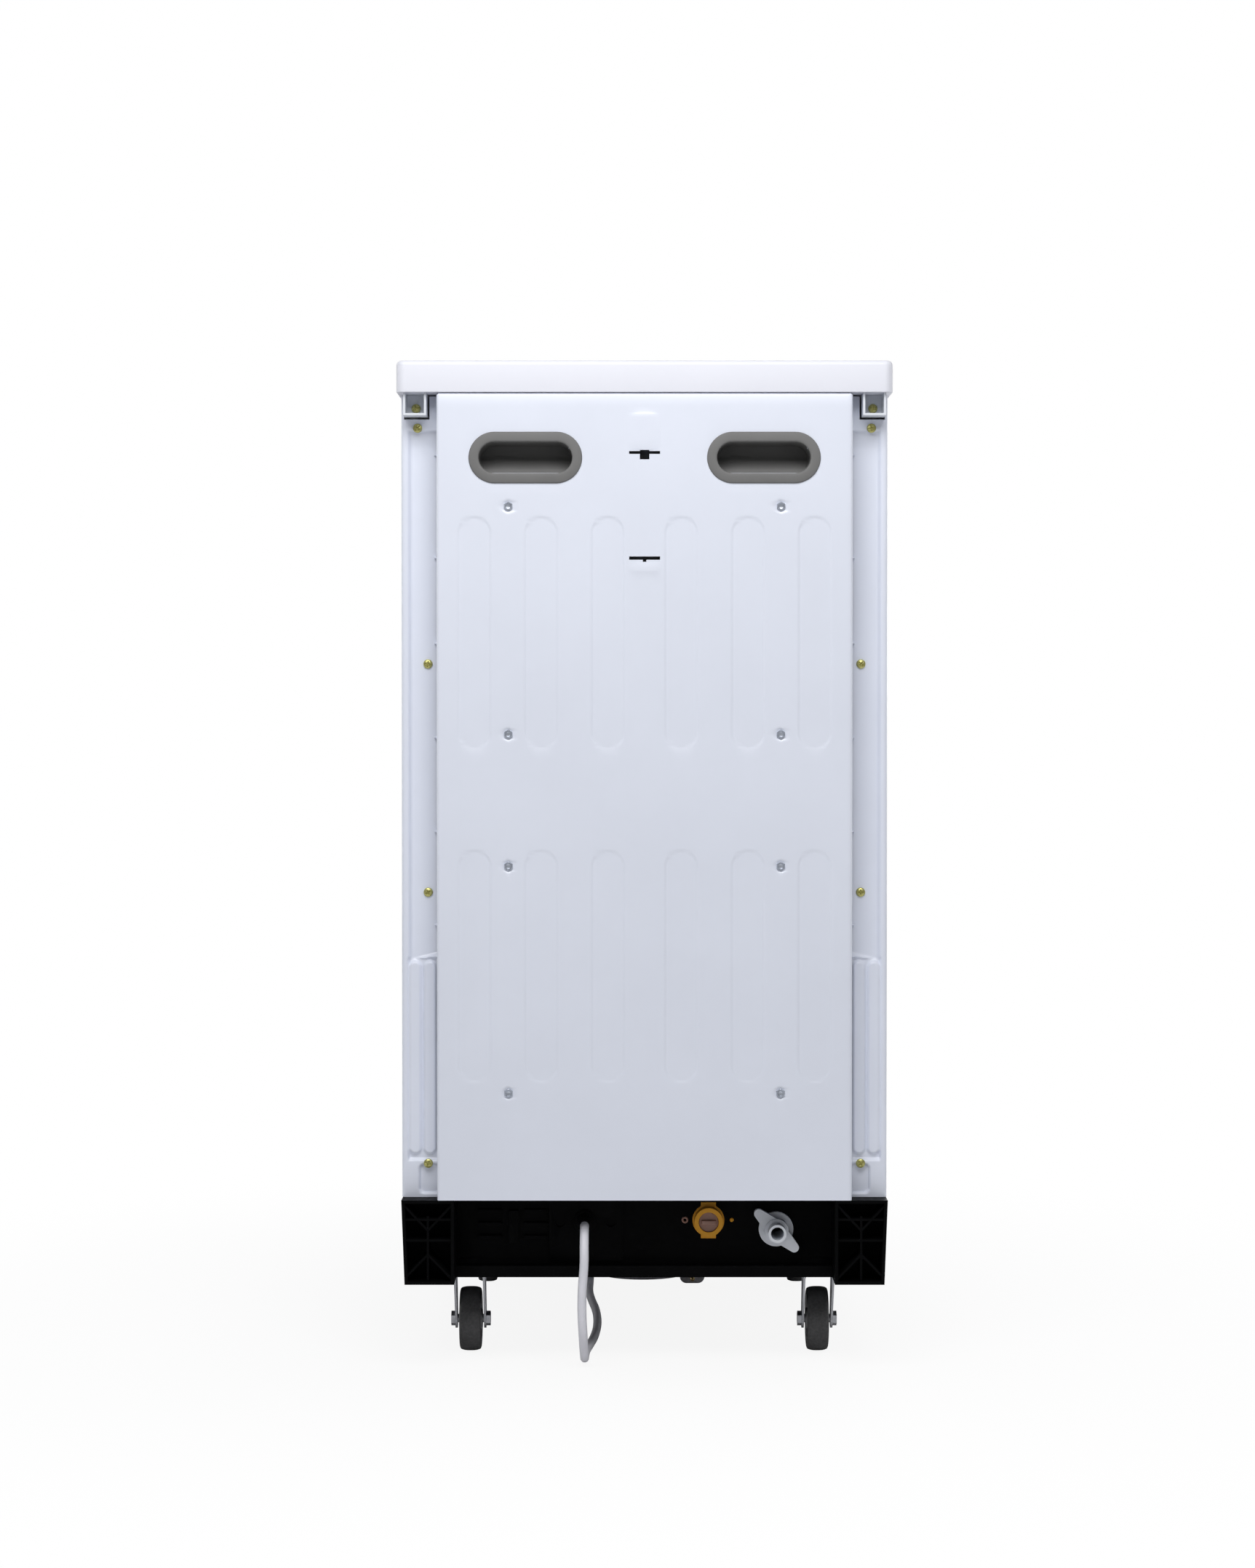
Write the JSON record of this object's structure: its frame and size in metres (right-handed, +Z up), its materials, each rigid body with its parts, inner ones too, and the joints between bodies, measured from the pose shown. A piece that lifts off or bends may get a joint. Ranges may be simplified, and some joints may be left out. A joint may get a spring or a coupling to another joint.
{
  "type": "portable dishwasher",
  "caption": "Slim portable dishwasher on swivel casters with drop-down door, sliding racks, spray arms, rear grips and hose connections.",
  "frame": {"origin": "on the floor under the middle of the worktop", "axes": "+Z up, +Y towards the rear panel with the hose connections, the door opens towards -Y, +X is the right side as the user faces the door"},
  "size_m": [0.45, 1.299, 0.92],
  "materials": {
    "black_plastic": "black moulded plastic",
    "brown_cap": "soft brown-pink moulding",
    "cast_weight": "rough cast counterweight",
    "caster_tyre": "dark grey caster wheel",
    "cord_sheath": "pale grey sheath",
    "dispenser_grey": "grey dispenser moulding",
    "display": "dark window",
    "fascia": "white control panel",
    "grey_plastic": "fine-grained grey moulding",
    "heater_steel": "heat-darkened tube",
    "key_plastic": "silver grey keys",
    "orange_plastic": "orange moulding",
    "pale_plastic": "light grey moulding",
    "plug_body": "pale grey moulding with brass blades",
    "rack_coating": "grey nylon-coated wire",
    "rack_plastic": "grey moulding",
    "rinse_blue": "dark blue-grey cap",
    "roller_plastic": "white rollers",
    "seal_rubber": "dark door seal",
    "stainless": "brushed stainless steel",
    "steel_plate": "zinc-plated steel",
    "white_enamel": "smooth powder-coated sheet steel",
    "white_worktop": "white laminate with moulded edge",
    "works_plastic": "grey-black works moulding",
    "yellow_zinc": "yellow passivated zinc",
    "zinc_screw": "bright zinc"
  },
  "bodies": {
    "cabinet": {"worktop": "white_worktop", "worktop_brackets": "pale_plastic", "side_panel_left": "white_enamel", "side_panel_right": "white_enamel", "rear_panel": "white_enamel", "grip_left": "grey_plastic", "grip_right": "grey_plastic", "rear_panel_screws": "zinc_screw", "body_screws": "yellow_zinc", "base": "black_plastic", "inlet_valve": "orange_plastic", "drain_outlet": "pale_plastic", "cord_gland": "black_plastic", "power_cord": "cord_sheath", "cord_coil": "cord_sheath", "cord_tie": "black_plastic", "power_plug": "plug_body", "caster_plates": "steel_plate", "tub": "stainless", "tub_gasket": "seal_rubber", "sump": "works_plastic", "sump_filter": "stainless", "heater": "heater_steel", "circulation_pump": "works_plastic", "drain_pump": "works_plastic", "counterweight": "cast_weight", "rack_rails": "stainless", "feed_pipe": "rack_plastic", "hinge_brackets": "steel_plate"},
    "inlet_dust_cap": {"inlet_cap": "brown_cap"},
    "wing_nut": {"drain_wing_nut": "pale_plastic"},
    "fork_fl": {"caster_fork_fl": "steel_plate"},
    "fork_fr": {"caster_fork_fr": "steel_plate"},
    "fork_rl": {"caster_fork_rl": "steel_plate"},
    "fork_rr": {"caster_fork_rr": "steel_plate"},
    "wheel_fl": {"caster_wheel_fl": "caster_tyre"},
    "wheel_fr": {"caster_wheel_fr": "caster_tyre"},
    "wheel_rl": {"caster_wheel_rl": "caster_tyre"},
    "wheel_rr": {"caster_wheel_rr": "caster_tyre"},
    "lower_rack_unit": {"lower_rack": "rack_coating", "lower_rack_rollers": "rack_plastic", "cutlery_basket": "rack_plastic"},
    "lower_arm": {"lower_spray_arm": "rack_plastic"},
    "upper_rack_unit": {"upper_rack": "rack_coating", "upper_rack_rollers": "roller_plastic", "rack_manifold": "rack_plastic"},
    "upper_arm": {"upper_spray_arm": "rack_plastic"},
    "door": {"door_hinge_arms": "steel_plate", "door_outer": "white_enamel", "door_liner": "stainless", "control_panel": "fascia", "display_window": "display", "door_latch": "works_plastic", "detergent_dispenser": "dispenser_grey"},
    "power_key": {"power_button": "key_plastic"},
    "programme_key": {"programme_button": "key_plastic"},
    "start_key": {"start_button": "key_plastic"},
    "dispenser_lid": {"detergent_lid": "dispenser_grey"},
    "rinse_aid_cap": {"rinse_cap": "rinse_blue"}
  },
  "joints": [
    {"name": "door_hinge", "type": "hinge", "parent": "cabinet", "child": "door", "pos_m": [0, -0.25, 0.139], "axis": [1, 0, 0], "range_deg": [-90, 0]},
    {"name": "upper_rack_slide", "type": "slide", "parent": "cabinet", "child": "upper_rack_unit", "axis": [0, -1, 0], "range_m": [0, 0.34]},
    {"name": "lower_rack_slide", "type": "slide", "parent": "cabinet", "child": "lower_rack_unit", "axis": [0, -1, 0], "range_m": [0, 0.4]},
    {"name": "lower_arm_spin", "type": "hinge", "parent": "cabinet", "child": "lower_arm", "pos_m": [0, -0.02, 0.172], "axis": [0, 0, 1], "continuous": true},
    {"name": "upper_arm_spin", "type": "hinge", "parent": "upper_rack_unit", "child": "upper_arm", "pos_m": [0, 0.0025, 0.503], "axis": [0, 0, 1], "continuous": true},
    {"name": "swivel_fl", "type": "hinge", "parent": "cabinet", "child": "fork_fl", "pos_m": [-0.163, -0.168, 0.08], "axis": [0, 0, 1], "continuous": true},
    {"name": "roll_fl", "type": "hinge", "parent": "fork_fl", "child": "wheel_fl", "pos_m": [-0.163, -0.192, 0.03], "axis": [1, 0, 0], "continuous": true},
    {"name": "swivel_fr", "type": "hinge", "parent": "cabinet", "child": "fork_fr", "pos_m": [0.163, -0.168, 0.08], "axis": [0, 0, 1], "continuous": true},
    {"name": "roll_fr", "type": "hinge", "parent": "fork_fr", "child": "wheel_fr", "pos_m": [0.163, -0.192, 0.03], "axis": [1, 0, 0], "continuous": true},
    {"name": "swivel_rl", "type": "hinge", "parent": "cabinet", "child": "fork_rl", "pos_m": [-0.163, 0.213, 0.08], "axis": [0, 0, 1], "continuous": true},
    {"name": "roll_rl", "type": "hinge", "parent": "fork_rl", "child": "wheel_rl", "pos_m": [-0.163, 0.189, 0.03], "axis": [1, 0, 0], "continuous": true},
    {"name": "swivel_rr", "type": "hinge", "parent": "cabinet", "child": "fork_rr", "pos_m": [0.163, 0.213, 0.08], "axis": [0, 0, 1], "continuous": true},
    {"name": "roll_rr", "type": "hinge", "parent": "fork_rr", "child": "wheel_rr", "pos_m": [0.163, 0.189, 0.03], "axis": [1, 0, 0], "continuous": true},
    {"name": "wing_nut_turn", "type": "hinge", "parent": "cabinet", "child": "wing_nut", "pos_m": [-0.122, 0.25, 0.123], "axis": [0, 1, 0], "range_deg": [-45, 90]},
    {"name": "inlet_cap_turn", "type": "hinge", "parent": "cabinet", "child": "inlet_dust_cap", "pos_m": [-0.0594, 0.25, 0.131], "axis": [0, 1, 0], "range_deg": [0, 180]},
    {"name": "power_press", "type": "slide", "parent": "door", "child": "power_key", "axis": [0, 0, 1], "range_m": [0, 0.002], "stiffness_N_per_m": 300, "springref_m": -0.0005},
    {"name": "programme_press", "type": "slide", "parent": "door", "child": "programme_key", "axis": [0, 0, 1], "range_m": [0, 0.002], "stiffness_N_per_m": 300, "springref_m": -0.0005},
    {"name": "start_press", "type": "slide", "parent": "door", "child": "start_key", "axis": [0, 0, 1], "range_m": [0, 0.002], "stiffness_N_per_m": 300, "springref_m": -0.0005},
    {"name": "dispenser_lid_hinge", "type": "hinge", "parent": "door", "child": "dispenser_lid", "pos_m": [0, -0.616, 0.15], "axis": [1, 0, 0], "range_deg": [0, 160]},
    {"name": "rinse_cap_turn", "type": "hinge", "parent": "door", "child": "rinse_aid_cap", "pos_m": [0.048, -0.58, 0.147], "axis": [0, 0, 1], "range_deg": [0, 90]}
  ]
}
